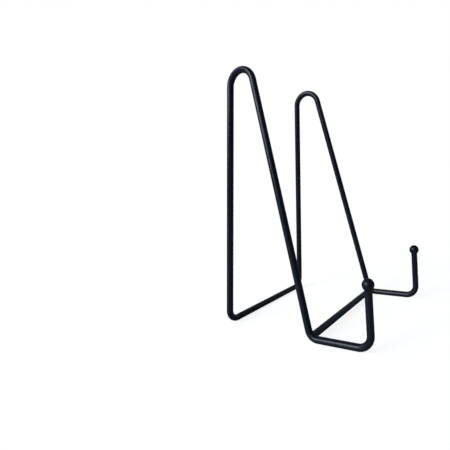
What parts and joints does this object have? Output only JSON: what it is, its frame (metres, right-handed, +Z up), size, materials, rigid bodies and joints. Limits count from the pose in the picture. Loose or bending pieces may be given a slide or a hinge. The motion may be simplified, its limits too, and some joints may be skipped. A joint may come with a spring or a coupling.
{
  "type": "plate display stand",
  "caption": "Free-standing bent wire stand that holds a plate upright, leaning on two tall hairpin legs behind two ball-tipped lips.",
  "frame": {"origin": "on the table, in the middle of the stand's footprint", "axes": "+Z up, -Y towards the front where the lips are, X across the stand, left is -X"},
  "size_m": [0.116, 0.127, 0.1953],
  "materials": {
    "wire_coat": "satin black powder coat",
    "ball_coat": "satin black powder coat, glossier on the ball",
    "weld_coat": "satin black powder coat over rippled weld metal"
  },
  "bodies": {
    "root": {"left_side_wire": "wire_coat", "right_side_wire": "wire_coat", "front_cross_bar": "wire_coat", "left_ball_tip": "ball_coat", "right_ball_tip": "ball_coat", "left_cross_bar_weld": "weld_coat", "right_cross_bar_weld": "weld_coat", "left_ball_weld": "weld_coat", "right_ball_weld": "weld_coat"}
  },
  "joints": []
}
